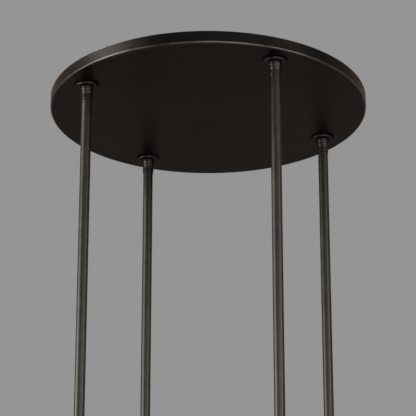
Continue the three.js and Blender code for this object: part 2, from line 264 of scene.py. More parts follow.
def as_mesh(shape: bmesh.types.BMesh) -> Mesh:
    """A shape as a new mesh. The shape is freed.

    Args:
        shape: the shape in metres.

    Returns:
        The mesh, which takes its name from its piece later.
    """
    mesh = bpy.data.meshes.new("piece")
    shape.to_mesh(mesh)
    shape.free()
    return mesh


def finished_mesh(shape: bmesh.types.BMesh) -> Mesh:
    """Closes a shape's seams, turns its faces outwards and keeps only its real corners crisp.

    Args:
        shape: the shape in metres, which is freed.

    Returns:
        The mesh.
    """
    bmesh.ops.remove_doubles(shape, verts=shape.verts, dist=MERGE_DISTANCE)
    bmesh.ops.dissolve_degenerate(shape, dist=MERGE_DISTANCE, edges=shape.edges)
    bmesh.ops.recalc_face_normals(shape, faces=shape.faces)
    for face in shape.faces:
        face.smooth = True
    for edge in shape.edges:
        edge.smooth = not edge.is_manifold or edge.calc_face_angle(0.0) < SHARP_ANGLE
    return as_mesh(shape)


def skinned(views: Sequence[tuple[float, Section]], wraps: bool = True) -> Mesh:
    """Skins over closed side views that stand round an axis.

    Args:
        views: the angle and the points of each side view, in order round the axis.
        wraps: whether the last view joins the first. Without it the last lies on the first.

    Returns:
        The closed mesh, in metres.
    """
    shape = bmesh.new()
    rows = []
    for angle, view in views:
        x, y = math.cos(angle), math.sin(angle)
        rows.append([shape.verts.new((r * x * MM, r * y * MM, z * MM)) for r, z in view])
    count = len(rows[0])
    for k in range(len(rows) if wraps else len(rows) - 1):
        here, there = rows[k], rows[(k + 1) % len(rows)]
        for j in range(count):
            n = (j + 1) % count
            shape.faces.new((here[j], there[j], there[n], here[n]))
    return finished_mesh(shape)


def turned(corners: Sequence[Corner], sides: int) -> Mesh:
    """A piece turned about the Z axis from a closed side view, with so many facets."""
    view = rounded(corners)
    return skinned([(math.tau * k / sides, view) for k in range(sides)])


def ring(radii: Point, levels: Point, roundings: Sequence[float], sides: int) -> Mesh:
    """A turned ring of plain section.

    Args:
        radii: its bore and its outer radius.
        levels: its lower and its upper face.
        roundings: what rounds its corners, from the bore's lower edge outwards and up.
        sides: number of facets round the axis.

    Returns:
        The mesh about its own axis.
    """
    (bore, radius), (bottom, top) = radii, levels
    places = ((bore, bottom), (radius, bottom), (radius, top), (bore, top))
    corners = [Corner(*place, by) for place, by in zip(places, roundings, strict=True)]
    return turned(corners, sides)


def raised(outline: Section, bottom: float, top: float) -> Mesh:
    """An outline in X and Y, raised from one height to another.

    Args:
        outline: the outline's points in order.
        bottom: the lower height.
        top: the upper height.

    Returns:
        The closed mesh, in metres.
    """
    shape = bmesh.new()
    low = [shape.verts.new((x * MM, y * MM, bottom * MM)) for x, y in outline]
    high = [shape.verts.new((x * MM, y * MM, top * MM)) for x, y in outline]
    for k in range(len(outline)):
        n = (k + 1) % len(outline)
        shape.faces.new((low[k], low[n], high[n], high[k]))
    shape.faces.new(low)
    shape.faces.new(high)
    return finished_mesh(shape)


def worked(blank: Mesh, tools: Sequence[Mesh], edge: float = 0.0) -> Mesh:
    """Cuts tools out of a blank, then breaks its sharp edges.

    Args:
        blank: the mesh to start from.
        tools: what is cut out of it, in order.
        edge: width of the broken edges in millimetres, or 0 to leave them.

    Returns:
        The worked mesh.
    """
    carrier = placed("blank", blank)
    helpers = [placed("tool", tool) for tool in tools]
    for helper in helpers:
        cut = carrier.modifiers.new("cut", "BOOLEAN")
        cut.object, cut.operation, cut.solver = helper, "DIFFERENCE", "EXACT"
    if edge > 0:
        break_edges(carrier, edge, SHARP_ANGLE)
    return finished_mesh(taken_off(carrier, *helpers))


@dataclass(frozen=True)
class Thread:
    """A screw thread, cut along the outside of a round shank."""

    radius: float
    depth: float
    pitch: float
    sides: int = 64

    @property
    def core(self) -> float:
        """Radius of the plain shank under the thread."""
        return self.radius - CORE_DEPTH * self.depth

    def mesh(self, bottom: float, top: float, below: Section, above: Section) -> Mesh:
        """A piece with this thread on it, skinned over side views that climb the helix.

        Args:
            bottom: where the thread starts.
            top: where it ends.
            below: points of the side view that come before the thread.
            above: points of the side view that come after it.

        Returns:
            The mesh about its own axis.
        """
        turns = math.ceil((top - bottom) / self.pitch) + 2
        root = self.radius - self.depth
        root_end, crest_start, crest_end = THREAD_TURN
        crest = self.radius
        wave = ((0.0, root), (root_end, root), (crest_start, crest), (crest_end, crest))
        views = []
        for side in range(self.sides + 1):
            part = side / self.sides
            view = list(below)
            for turn in range(-1, turns):
                for phase, out in wave:
                    up = min(max(bottom + (turn + phase + part) * self.pitch, bottom), top)
                    view.append((min(out, self.core + min(up - bottom, top - up)), up))
            views.append((math.tau * part, view + above))
        return skinned(views, wraps=False)


# Finishes


class Grain(Enum):
    """Which way the marks of making run over a surface."""

    TURNED = "round the axis"
    DRAWN = "along the axis"
    PLATED = "in patches"
    MOULDED = "all ways alike"


class NodeSheet:
    """The node tree of one material, with short calls for what the finishes use."""

    def __init__(self, name: str) -> None:
        """Starts a material that holds only its output and its surface.

        Args:
            name: the material's name.
        """
        self.material = bpy.data.materials.new(name)
        self.material.use_nodes = True
        self.tree = self.material.node_tree
        self.tree.nodes.clear()
        output = self.node("OutputMaterial")
        self.surface = self.node("BsdfPrincipled")
        self.fill(output, {"Surface": self.surface.outputs[0]})

    def fill(self, node: bpy.types.Node, inputs: dict[str | int, object]) -> None:
        """Links outputs to a node's inputs, or writes plain values there.

        Args:
            node: the node.
            inputs: what goes into each input, by the input's name or number.
        """
        for key, value in inputs.items():
            target = node.inputs[key]
            if isinstance(value, Socket):
                self.tree.links.new(value, target)
            else:
                target.default_value = (*value, 1.0) if target.type == "RGBA" else value

    def node(
        self, kind: str, inputs: dict[str | int, object] | None = None, **settings: object
    ) -> bpy.types.Node:
        """Adds a node.

        Args:
            kind: Blender's name for the kind of node, without its first part.
            inputs: what goes into each input, by the input's name or number.
            **settings: its properties by name.

        Returns:
            The new node.
        """
        made = self.tree.nodes.new(f"ShaderNode{kind}")
        for key, value in settings.items():
            setattr(made, key, value)
        self.fill(made, inputs or {})
        return made

    def maths(self, how: str, first: object, second: object) -> Socket:
        """One step of arithmetic on two values."""
        return self.node("Math", {0: first, 1: second}, operation=how).outputs[0]

    def stretched(self, vector: Socket, scale: Place) -> Socket:
        """A vector multiplied along each axis."""
        made = self.node("VectorMath", {0: vector, 1: scale}, operation="MULTIPLY")
        return made.outputs[0]

    def noise(self, place: Socket, scale: float, detail: float, shift: object = 0.0) -> Socket:
        """Noise from 0 to 1, which differs from piece to piece where shift does.

        Args:
            place: where the noise is taken.
            scale: how many grains there are to a metre.
            detail: how many finer layers it has.
            shift: a value that moves the whole pattern.

        Returns:
            The noise.
        """
        inputs = {"Scale": scale, "Detail": detail, "Roughness": NOISE_ROUGHNESS}
        inputs |= {"Vector": place, "W": shift}
        return self.node("TexNoise", inputs, noise_dimensions="4D").outputs["Fac"]

    def spread(self, value: Socket, source: Point, target: Point) -> Socket:
        """Maps a value from one span onto another, held within it."""
        ends = zip(("From Min", "From Max", "To Min", "To Max"), (*source, *target), strict=True)
        return self.node("MapRange", {"Value": value} | dict(ends)).outputs["Result"]

    def blended(self, factor: Socket, first: object, second: object) -> Socket:
        """One colour at a factor of 0, passing into another at 1."""
        inputs = {"Factor": factor, MIX_FIRST: first, MIX_SECOND: second}
        return self.node("Mix", inputs, data_type="RGBA").outputs[MIX_RESULT]

    def bumped(self, height: Socket, depth: float, **under: Socket) -> Socket:
        """A normal bent by a height map that is so deep in millimetres, over another if given."""
        inputs = {"Distance": depth * MM, "Height": height, **under}
        return self.node("Bump", inputs).outputs["Normal"]


@dataclass(frozen=True)
class Finish:
    """One surface finish: colours, shine, and the marks that making and handling leave.

    Colours are linear, lengths are millimetres. glancing tints reflections at a low angle.
    The edge colour lightens rubbed edges; on the pan it also paints a highlight along the bend and
    trimmed edge.
    """

    name: str
    slot: str
    colour: Colour
    second: Colour
    roughness: Point
    grain: Grain
    grain_pitch: float
    grain_depth: float
    patch_size: float
    patch_depth: float = 0.02
    metalness: float = 1.0
    wear_and_highlight: float = 0.0
    worn_and_highlight_colour: Colour = (0.0, 0.0, 0.0)
    glancing: Colour = (1.0, 1.0, 1.0)
    stretch: float = 0.0
    shine: float = 0.5

    def marks(self, sheet: NodeSheet, place: Socket, shift: Socket) -> Socket:
        """The fine marks of making, from 0 to 1.

        Args:
            sheet: the node sheet to draw on.
            place: the place on the piece, in metres.
            shift: a value that differs from piece to piece.

        Returns:
            The marks' height.
        """
        per_mark = 1 / (self.grain_pitch * MM)
        if self.grain is Grain.TURNED:
            flat = sheet.stretched(place, (1.0, 1.0, 0.0))
            out = sheet.node("VectorMath", {0: flat}, operation="LENGTH").outputs["Value"]
            up = sheet.node("SeparateXYZ", {0: place}).outputs["Z"]
            rings = sheet.node("CombineXYZ", {"X": out, "Y": up}).outputs[0]
            return sheet.noise(rings, per_mark, RING_DETAIL, shift)
        if self.grain is Grain.DRAWN:
            lines = sheet.stretched(place, (1.0, 1.0, DRAWN_SQUEEZE))
            return sheet.noise(lines, per_mark, MARK_DETAIL, shift)
        if self.grain is Grain.PLATED:
            inputs = {"Vector": place, "Scale": per_mark}
            cells = sheet.node("TexVoronoi", inputs, feature="SMOOTH_F1")
            fine = sheet.noise(place, PLATE_FINENESS * per_mark, MARK_DETAIL, shift)
            grains = sheet.maths("ADD", cells.outputs["Distance"], fine)
            return sheet.maths("MULTIPLY", grains, PLATE_SHARE)
        return sheet.noise(place, per_mark, MARK_DETAIL, shift)

    @cache
    def material(self) -> bpy.types.Material:
        """Builds the finish's material when it is first asked for.

        Returns:
            Its one material, whose colour, roughness and bump all come from nodes.
        """
        sheet = NodeSheet(self.name)
        place = sheet.node("TexCoord").outputs["Object"]
        own = sheet.node("ObjectInfo").outputs["Random"]
        shift = sheet.maths("MULTIPLY", own, PIECE_SHIFT)
        marks = self.marks(sheet, place, shift)
        cloud = sheet.noise(place, 1 / (self.patch_size * MM), CLOUD_DETAIL, shift)
        patches = sheet.spread(cloud, PATCH_EDGE, (0.0, 1.0))
        share = sheet.maths("MULTIPLY", patches, PATCH_SHARE)
        tone = sheet.maths("ADD", share, sheet.maths("MULTIPLY", marks, 1 - PATCH_SHARE))
        colour = sheet.blended(tone, self.colour, self.second)
        # Pointiness lightens edges: rubbed bare metal on fittings, tubes and brass, and also a
        # painted highlight along the pan's bend and trimmed edge
        if self.wear_and_highlight > 0:
            edges = sheet.node("NewGeometry").outputs["Pointiness"]
            bright = sheet.spread(edges, RUBBED_AND_HIGHLIT_EDGE, (0.0, self.wear_and_highlight))
            rubbed_and_highlit = sheet.maths("MULTIPLY", bright, sheet.spread(cloud, *RUBBED_AND_HIGHLIT_PATCH))
            colour = sheet.blended(rubbed_and_highlit, colour, self.worn_and_highlight_colour)
        waves = sheet.bumped(cloud, self.patch_depth)
        look = {
            "Base Color": colour,
            "Roughness": sheet.spread(tone, TONE_SPAN, self.roughness),
            "Normal": sheet.bumped(marks, self.grain_depth, Normal=waves),
            "Metallic": self.metalness,
            "Specular IOR Level": self.shine,
            "Specular Tint": self.glancing,
        }
        if self.stretch > 0:
            tangent = sheet.node("Tangent", direction_type="RADIAL", axis="Z")
            look["Tangent"] = tangent.outputs[0]
            look["Anisotropic"] = self.stretch
            look["Anisotropic Rotation"] = QUARTER_TURN if self.grain is Grain.TURNED else 0.0
        sheet.fill(sheet.surface, look)
        return sheet.material


class FinishName(Enum):
    """The finishes on this object."""

    # The pan's colour is set about a quarter as bright as the tube's, though both are one dark
    # bronze: painted shade on the canopy
    PAN = Finish(
        "spun_bronze_pan", "bronze_pan",
        colour=(0.0138, 0.0129, 0.0117), second=(0.0208, 0.0190, 0.0170), worn_and_highlight_colour=(0.16, 0.145, 0.128),
        roughness=(0.37, 0.45), grain=Grain.TURNED, grain_pitch=2.6, grain_depth=0.012,
        # Full edge lightening in a pale colour: a painted highlight line along the pan's bend and
        # trimmed edge, on top of real rubbing
        patch_size=45.0, patch_depth=0.05, wear_and_highlight=1.0, glancing=(0.95, 0.835, 0.775), stretch=0.3,
    )
    # The tube's colour is set about four times as bright as the pan's: painted light on the stems
    TUBE = Finish(
        "drawn_bronze_tube", "bronze_tube",
        colour=(0.051, 0.046, 0.040), second=(0.064, 0.058, 0.050), worn_and_highlight_colour=(0.12, 0.10, 0.08),
        roughness=(0.38, 0.45), grain=Grain.DRAWN, grain_pitch=0.9, grain_depth=0.008,
        patch_size=18.0, wear_and_highlight=0.3, glancing=(0.8, 0.78, 0.76),
    )
    FITTING = Finish(
        "turned_bronze_fitting", "bronze_fitting",
        colour=(0.045, 0.040, 0.035), second=(0.058, 0.051, 0.045), worn_and_highlight_colour=(0.115, 0.099, 0.087),
        roughness=(0.35, 0.43), grain=Grain.TURNED, grain_pitch=0.7, grain_depth=0.006,
        patch_size=7.0, wear_and_highlight=0.18, glancing=(0.62, 0.58, 0.55), stretch=0.2,
    )
    ZINC = Finish(
        "zinc_plate", "zinc_steel",
        colour=(0.42, 0.43, 0.43), second=(0.56, 0.56, 0.53), roughness=(0.50, 0.64),
        grain=Grain.PLATED, grain_pitch=2.2, grain_depth=0.020, patch_size=14.0,
    )
    BRASS = Finish(
        "turned_brass", "raw_brass",
        colour=(0.48, 0.32, 0.105), second=(0.62, 0.43, 0.16), worn_and_highlight_colour=(0.80, 0.62, 0.30),
        roughness=(0.22, 0.38), grain=Grain.TURNED, grain_pitch=0.5, grain_depth=0.008,
        patch_size=5.0, wear_and_highlight=0.5, stretch=0.25,
    )
    SEAT = Finish(
        "bearing_bronze", "seat_bronze",
        colour=(0.32, 0.17, 0.065), second=(0.42, 0.24, 0.10), worn_and_highlight_colour=(0.60, 0.38, 0.18),
        roughness=(0.32, 0.5), grain=Grain.TURNED, grain_pitch=0.4, grain_depth=0.006,
        patch_size=4.0, wear_and_highlight=0.4,
    )
    NYLON = Finish(
        "natural_nylon", "nylon",
        colour=(0.74, 0.71, 0.62), second=(0.80, 0.77, 0.70), roughness=(0.42, 0.6),
        grain=Grain.MOULDED, grain_pitch=0.5, grain_depth=0.006, patch_size=6.0, metalness=0.0,
    )
    RUBBER = Finish(
        "black_rubber", "black_rubber",
        colour=(0.010, 0.010, 0.010), second=(0.022, 0.022, 0.021), roughness=(0.62, 0.85),
        grain=Grain.MOULDED, grain_pitch=0.35, grain_depth=0.02, patch_size=5.0, metalness=0.0,
        shine=0.35,
    )
    BLOCK = Finish(
        "block_plastic", "block_plastic",
        colour=(0.72, 0.70, 0.64), second=(0.79, 0.77, 0.72), roughness=(0.38, 0.55),
        grain=Grain.MOULDED, grain_pitch=0.6, grain_depth=0.010, patch_size=9.0, metalness=0.0,
    )


# Sub-assemblies


class SubAssembly:
    """Pieces that are made and dressed together."""

    def fit(
        self, name: str, mesh: Mesh, finish: FinishName, node: str = "", body: str = "",
        at: Point = (0.0, 0.0),
    ) -> None:
        """Puts a piece in its place, dresses it and lets it ride on its body.

        Args:
            name: the piece's name.
            mesh: its mesh about its own axis.
            finish: its finish.
            node: the frame's solid that it replaces, if any.
            body: the body that it rides on, where it replaces no solid.
            at: where its axis stands, in millimetres.
        """
        mesh.name = name
        piece = placed(name, mesh)
        piece.location = (at[0] * MM, at[1] * MM, 0.0)
        mesh.materials.append(finish.value.material())
        shading = piece.modifiers.new("even_shading", "WEIGHTED_NORMAL")
        shading.keep_sharp = True
        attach(piece, body or BODY_OF[node])
        if node:
            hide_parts(node)
        log.info("fitted %s: %d faces", name, len(mesh.polygons))


@dataclass(frozen=True)
class StemPlace:
    """Where one stem hangs: its corner's name, its axis and its ball's height."""

    corner: str
    x: float
    y: float
    ball: float


def stem_places() -> list[StemPlace]:
    """The four stems' places, read from the swivel joints of the frame.

    Returns:
        The places, one for each corner.
    """
    found = []
    for joint in frame["joints"]:
        kind, _, corner = joint["name"].partition("fore_aft_")
        if kind == "swing_":
            found.append(StemPlace(corner, *(value / MM for value in joint["pos_m"])))
    return found


def heights(node: str) -> Point:
    """Lowest and highest point of a solid of the frame, in millimetres."""
    low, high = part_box(node)
    return low.z / MM, high.z / MM


@dataclass
class CanopyPan(SubAssembly):
    """The spun pan: flat underside, one small bend, plain side wall, and a hole for each cup.

    rings are the radii at which its flat floor is divided into faces.
    """

    radius: float = 254.0
    wall: float = 1.6
    bend: float = 2.2
    trimmed_edge: float = 0.65
    hole_radius: float = 10.8
    hole_sides: int = 64
    rings: tuple[float, ...] = (60.0, 120.0, 180.0, 196.0, 204.0, 212.0, 220.0, 228.0, 236.0)
    sides: int = 256

    def build(self, places: Sequence[StemPlace]) -> None:
        """Spins the pan, punches its holes and fits it.

        Args:
            places: where the stems pass through it.
        """
        bottom, top = heights("canopy_pan")
        inside = self.radius - self.wall
        floor = bottom + self.wall
        section = [
            Corner(0.0, bottom),
            *[Corner(ring, bottom) for ring in self.rings],
            Corner(self.radius, bottom, self.bend),
            Corner(self.radius, top, self.trimmed_edge),
            Corner(inside, top, self.trimmed_edge),
            Corner(inside, floor, self.bend - self.wall),
            *[Corner(ring, floor) for ring in reversed(self.rings)],
            Corner(0.0, floor),
        ]
        tools = []
        for place in places:
            hole = circle(place.x, place.y, self.hole_radius, self.hole_sides)
            tools.append(raised(hole, bottom - TOOL_REACH, floor + TOOL_REACH))
        pan = worked(turned(section, self.sides), tools)
        self.fit("spun_pan", pan, FinishName.PAN, "canopy_pan")


@dataclass
class CeilingBracket(SubAssembly):
    """The pressed cross bracket: hub, four stepped arms with turned-down edges, slots and holes."""

    thickness: float = 2.5
    hub_radius: float = 62.0
    stem_circle: float = 215.5
    half_width: float = 23.0
    pad_length: float = 50.0
    step_run: float = 12.0
    step_rounding: float = 4.0
    web_rounding: float = 8.0
    lip_height: float = 6.0
    lip_setback: float = 8.0
    lip_rounding: float = 2.75
    nipple_hole: float = 8.3
    joist_slot: Point = (18.0, 6.5)
    box_slot: Point = (15.0, 5.2)
    box_slot_place: float = 39.7
    wire_hole: Hole = (0.0, 30.0, 11.0)
    earth_hole: Hole = (40.0, 26.0, 2.4)
    broken_edge: float = 0.3
    ceiling_gap: float = 0.002
    web_steps: int = 6
    tip_steps: int = 18
    hub_steps: int = 12
    fold_steps: int = 5
    hole_sides: tuple[int, int, int] = (48, 24, 40)

    def __post_init__(self) -> None:
        """Works out the distances along an arm that the sizes above give."""
        self.pad_level = heights("mounting_bracket")[0] + self.thickness
        self.arm_end = self.stem_circle + self.half_width
        self.step_end = self.arm_end - self.pad_length
        self.step_start = self.step_end - self.step_run
        self.lip_start = self.hub_radius + self.lip_setback
        self.lip_end = self.step_start - self.lip_setback
        half = self.thickness / 2
        low = self.pad_level - half
        middle = -half - self.ceiling_gap
        self.fold = half + self.lip_rounding
        beyond = -half - FAR_DOWN
        profile = [
            Corner(0.0, middle),
            Corner(self.step_start, middle, self.step_rounding),
            Corner(self.step_end, low, self.step_rounding),
            Corner(self.arm_end + OVERRUN, low),
            Corner(self.arm_end + OVERRUN, beyond),
            Corner(0.0, beyond),
        ]
        self.side_view = rounded(profile)[:-2]

    def height_along(self, along: float) -> float:
        """Height of the sheet's middle at a distance along an arm.

        Args:
            along: the distance from the bracket's middle.

        Returns:
            The height in millimetres.
        """
        for (a, low), (b, high) in zip(self.side_view, self.side_view[1:]):
            if a <= along <= b:
                return low + (high - low) * (along - a) / (b - a)
        return self.side_view[-1][1]

    def arm_edge(self) -> Section:
        """Half an arm's plan from the web between hub and arm to its tip, on its left side.

        Returns:
            The points in order, for an arm along X.
        """
        out = self.hub_radius + self.web_rounding
        side = self.half_width + self.web_rounding
        along = math.sqrt(out**2 - side**2)
        start = math.atan2(-side, -along)
        points = circle_part(along, side, self.web_rounding, start, -math.pi / 2, self.web_steps)
        inner = self.half_width - self.fold
        points += [(self.lip_start, self.half_width), (self.lip_start, inner)]
        points += [(self.lip_end, inner), (self.lip_end, self.half_width)]
        points += [(a, self.half_width) for a, _ in self.side_view[1:-1]]
        tip = circle_part(self.stem_circle, 0.0, self.half_width, math.pi / 2, 0.0, self.tip_steps)
        return points + tip[:-1]

    def plan(self) -> Section:
        """The whole bracket's outline from above, anticlockwise.

        Returns:
            The outline's points.
        """
        left = self.arm_edge()
        arm = [(a, -b) for a, b in left] + [(self.arm_end, 0.0)] + left[::-1]
        outline: Section = []
        web = math.atan2(left[0][1], left[0][0])
        for turn in ARM_TURNS:
            outline += [turned_point(point, turn) for point in arm]
            start, end = turn + web, turn + math.pi / 2 - web
            outline += circle_part(0.0, 0.0, self.hub_radius, start, end, self.hub_steps)[1:-1]
        return outline

    def holes(self) -> list[Section]:
        """Outlines of every hole and slot.

        Returns:
            One closed outline for each.
        """
        joist = (self.lip_start + self.lip_end) / 2
        wire, earth, nipple = self.hole_sides
        found = [circle(*self.wire_hole, wire), circle(*self.earth_hole, earth)]
        for side in (-1, 1):
            found.append(slot_outline((side * self.box_slot_place, 0.0), self.box_slot))
        for turn in ARM_TURNS:
            hole = circle(self.stem_circle, 0.0, self.nipple_hole, nipple)
            for outline in (hole, slot_outline((joist, 0.0), self.joist_slot)):
                found.append([turned_point(point, turn) for point in outline])
        return found

    def sheet(self) -> bmesh.types.BMesh:
        """The middle of the pressed sheet: flat plan, stepped along the arms, edges folded down.

        Returns:
            The open sheet, in metres.
        """
        loops = [self.plan(), *self.holes()]
        points, edges = [], []
        for loop in loops:
            first = len(points)
            points += [Vector(point) for point in loop]
            edges += [(first + k, first + (k + 1) % len(loop)) for k in range(len(loop))]
        for turn in ARM_TURNS:
            for along, _ in self.side_view[1:-1]:
                first = len(points)
                for side in (-1, 1):
                    points.append(Vector(turned_point((along, side * self.half_width), turn)))
                edges.append((first, first + 1))
        flat, _, faces, *_ = delaunay_2d_cdt(points, edges, [], 0, PLAN_TOLERANCE)
        shape = bmesh.new()
        verts = [shape.verts.new((v.x * MM, v.y * MM, 0.0)) for v in flat]
        for face in faces:
            middle = sum((flat[k] for k in face), Vector((0.0, 0.0))) / len(face)
            if inside(middle, loops[0]) and not any(inside(middle, hole) for hole in loops[1:]):
                shape.faces.new([verts[k] for k in face])
        bmesh.ops.delete(shape, geom=[v for v in shape.verts if not v.link_faces], context="VERTS")
        self.fold_edges(shape)
        for vert in shape.verts:
            if vert.co.z == 0.0:
                along = max(abs(vert.co.x + vert.co.y), abs(vert.co.x - vert.co.y)) / math.sqrt(2)
                vert.co.z = self.height_along(along / MM) * MM
        return shape

    def fold_edges(self, shape: bmesh.types.BMesh) -> None:
        """Folds the arms' long edges down, each end cut away at a slope.

        Args:
            shape: the flat sheet, which is changed.
        """
        half = self.thickness / 2
        inner = self.half_width - self.fold
        rows = []
        for k in range(self.fold_steps + 1):
            bend = math.pi / 2 * k / self.fold_steps
            out = inner + self.lip_rounding * math.sin(bend)
            rows.append((out, -half - self.lip_rounding * (1 - math.cos(bend))))
        rows.append((rows[-1][0], -self.thickness - self.lip_height))
        for turn in ARM_TURNS:
            for side in (-1, 1):
                grid = []
                for out, up in rows:
                    cut = max(0.0, -self.thickness - up)
                    ends = [(self.lip_start + cut, side * out), (self.lip_end - cut, side * out)]
                    spots = [turned_point(end, turn) for end in ends]
                    grid.append([shape.verts.new((x * MM, y * MM, up * MM)) for x, y in spots])
                for low, high in zip(grid, grid[1:]):
                    shape.faces.new((low[0], low[1], high[1], high[0]))
        for vert in shape.verts:
            if abs(vert.co.z + half * MM) < LEVEL_TOLERANCE:
                vert.co.z = 0.0
        bmesh.ops.remove_doubles(shape, verts=shape.verts, dist=FOLD_TOLERANCE)

    def build(self) -> None:
        """Presses the bracket and fits it."""
        shape = self.sheet()
        bmesh.ops.recalc_face_normals(shape, faces=shape.faces)
        carrier = placed("sheet", as_mesh(shape))
        thick = carrier.modifiers.new("thickness", "SOLIDIFY")
        thick.thickness, thick.offset, thick.use_even_offset = self.thickness * MM, 0.0, True
        break_edges(carrier, self.broken_edge, BEND_ANGLE)
        mesh = finished_mesh(taken_off(carrier))
        self.fit("pressed_bracket", mesh, FinishName.ZINC, "mounting_bracket")


def turned_point(point: Point, turn: float) -> Point:
    """A point turned about the middle."""
    x, y = point
    return x * math.cos(turn) - y * math.sin(turn), x * math.sin(turn) + y * math.cos(turn)


def slot_outline(middle: Point, size: Point) -> Section:
    """A slot with round ends along X.

    Args:
        middle: its middle.
        size: its length and width.

    Returns:
        The outline's points, anticlockwise.
    """
    length, width = size
    reach = (length - width) / 2
    x, y = middle
    up, down, round_again = math.pi / 2, -math.pi / 2, 3 * math.pi / 2
    right = circle_part(x + reach, y, width / 2, down, up, SLOT_STEPS)
    return right + circle_part(x - reach, y, width / 2, up, round_again, SLOT_STEPS)


def inside(point: Vector, outline: Section) -> bool:
    """Whether a point lies inside a closed outline.

    Args:
        point: the point.
        outline: the outline's points in order.

    Returns:
        True where it lies inside.
    """
    within = False
    for (ax, ay), (bx, by) in zip(outline, outline[1:] + outline[:1]):
        crosses = (ay > point.y) != (by > point.y)
        if crosses and point.x < (bx - ax) * (point.y - ay) / (by - ay) + ax:
            within = not within
    return within


@dataclass
class HubFittings(SubAssembly):
    """What the hub carries for the wires: rubber grommet, terminal block and earth screw."""

    grommet_bore: float = 7.5
    grommet_groove: float = 10.7
    grommet_lip: float = 15.0
    grommet_place: Point = (0.0, 30.0)
    grommet_sides: int = 72
    sheet: float = 2.5
    block_size: Place = (34.0, 16.0, 9.5)
    block_place: Point = (0.0, -32.0)
    crown: float = 8.6
    shoulder_drop: float = 5.2
    ways: int = 3
    way_radius: float = 1.8
    well_radius: float = 2.2
    well_depth: float = 2.5
    block_edge: float = 0.35
    sides: int = 32
    barrel_radius: float = 1.75
    barrel_bore: float = 1.35
    barrel_setback: float = 1.0
    screw_radius: float = 1.9
    screw_sink: float = 0.9
    screw_gap: float = 0.05
    screw_slot: Point = (3.0, 0.3)
    slot_depth: float = 0.7
    earth_place: Point = (40.0, 26.0)
    earth_head: float = 4.5
    head_drop: float = 1.35
    head_crown: float = 0.62
    recess: Point = (2.4, 0.45)
    recess_depth: float = 1.5
    earth_shank: Thread = Thread(radius=2.1, depth=0.35, pitch=0.7, sides=32)

    def grommet(self) -> None:
        """Moulds the grommet, with full round lips on both sides of the hub's edge."""
        bottom, top = heights("wire_grommet")
        groove = -self.sheet - FACE_GAP
        corners = [
            Corner(self.grommet_bore, bottom, 0.9),
            Corner(self.grommet_lip, bottom, 1.1),
            Corner(self.grommet_lip, groove, 0.35),
            Corner(self.grommet_groove, groove, 0.1),
            Corner(self.grommet_groove, top, 0.25),
            Corner(self.grommet_bore, top, 0.6),
        ]
        mesh = turned(corners, self.grommet_sides)
        self.fit("hub_grommet", mesh, FinishName.RUBBER, "wire_grommet", at=self.grommet_place)

    def way_places(self) -> list[float]:
        """Where each way of the terminal block stands along X."""
        pitch = self.block_size[0] / self.ways
        return [(way + 0.5) * pitch - self.block_size[0] / 2 for way in range(self.ways)]

    def block(self) -> None:
        """Moulds the block's body, then puts a brass barrel and a clamp screw in each way."""
        bottom, top = heights("terminal_block")
        length, depth, _ = self.block_size
        pitch = length / self.ways
        shoulder = top - self.shoulder_drop
        outline = [(-length / 2, top), (-length / 2, shoulder)]
        for x in self.way_places():
            outline += [(x - self.crown / 2, bottom), (x + self.crown / 2, bottom)]
            outline.append((x + pitch / 2, shoulder))
        outline[-1] = (length / 2, shoulder)
        outline.append((length / 2, top))
        body = laid(raised(outline, depth / 2, -depth / 2))
        middle = (top + bottom) / 2
        tools = []
        for x in self.way_places():
            way = circle(x, middle, self.way_radius, self.sides)
            tools.append(laid(raised(way, -depth, depth)))
            well = circle(x, 0.0, self.well_radius, self.sides)
            tools.append(raised(well, bottom - TOOL_REACH, bottom + self.well_depth))
        shaped = worked(body, tools, edge=self.block_edge)
        self.fit("block_body", shaped, FinishName.BLOCK, "terminal_block", at=self.block_place)
        for number, x in enumerate(self.way_places(), 1):
            self.way_brass(number, x)

    def way_brass(self, number: int, x: float) -> None:
        """Fits one way's barrel, a little shorter than the block, and its slotted clamp screw.

        Args:
            number: the way's number.
            x: its place along the block.
        """
        bottom, top = heights("terminal_block")
        middle = (top + bottom) / 2
        half = self.block_size[1] / 2 - self.barrel_setback
        radii = (self.barrel_bore, self.barrel_radius)
        barrel = laid(ring(radii, (-half, half), (0.15, 0.1, 0.1, 0.15), self.sides))
        for vert in barrel.vertices:
            vert.co += Vector((x * MM, 0.0, middle * MM))
        name = f"block_barrel_{number}"
        self.fit(name, barrel, FinishName.BRASS, body="ceiling_set", at=self.block_place)
        low = bottom + self.screw_sink
        levels = (low, bottom + self.well_depth - self.screw_gap)
        blank = ring((0.0, self.screw_radius), levels, (0.0, 0.25, 0.0, 0.0), self.sides)
        slot = raised(bar(self.screw_slot, 0.0), low - OVERRUN, low + self.slot_depth)
        place = (self.block_place[0] + x, self.block_place[1])
        name = f"block_screw_{number}"
        self.fit(name, worked(blank, [slot]), FinishName.BRASS, body="ceiling_set", at=place)

    def earth(self) -> None:
        """Turns the earth screw: domed head with a cross recess, and a threaded shank."""
        bottom, top = heights("earth_screw")
        seat = -self.sheet - FACE_GAP
        head = [
            Corner(0.0, bottom),
            Corner(self.earth_head * self.head_crown, bottom, 1.2),
            Corner(self.earth_head, bottom + self.head_drop, 0.8),
            Corner(self.earth_head, seat, 0.3),
            Corner(0.0, seat),
        ]
        below = rounded(head)[:-1]
        blank = self.earth_shank.mesh(seat, top, below, [(0.0, top)])
        tools = []
        for turn in (0.0, math.pi / 2):
            cross = bar(self.recess, turn)
            tools.append(raised(cross, bottom - OVERRUN, bottom + self.recess_depth))
        mesh = worked(blank, tools)
        self.fit("earth_screw_turned", mesh, FinishName.BRASS, "earth_screw", at=self.earth_place)

    def build(self) -> None:
        """Makes and fits everything on the hub."""
        self.grommet()
        self.block()
        self.earth()


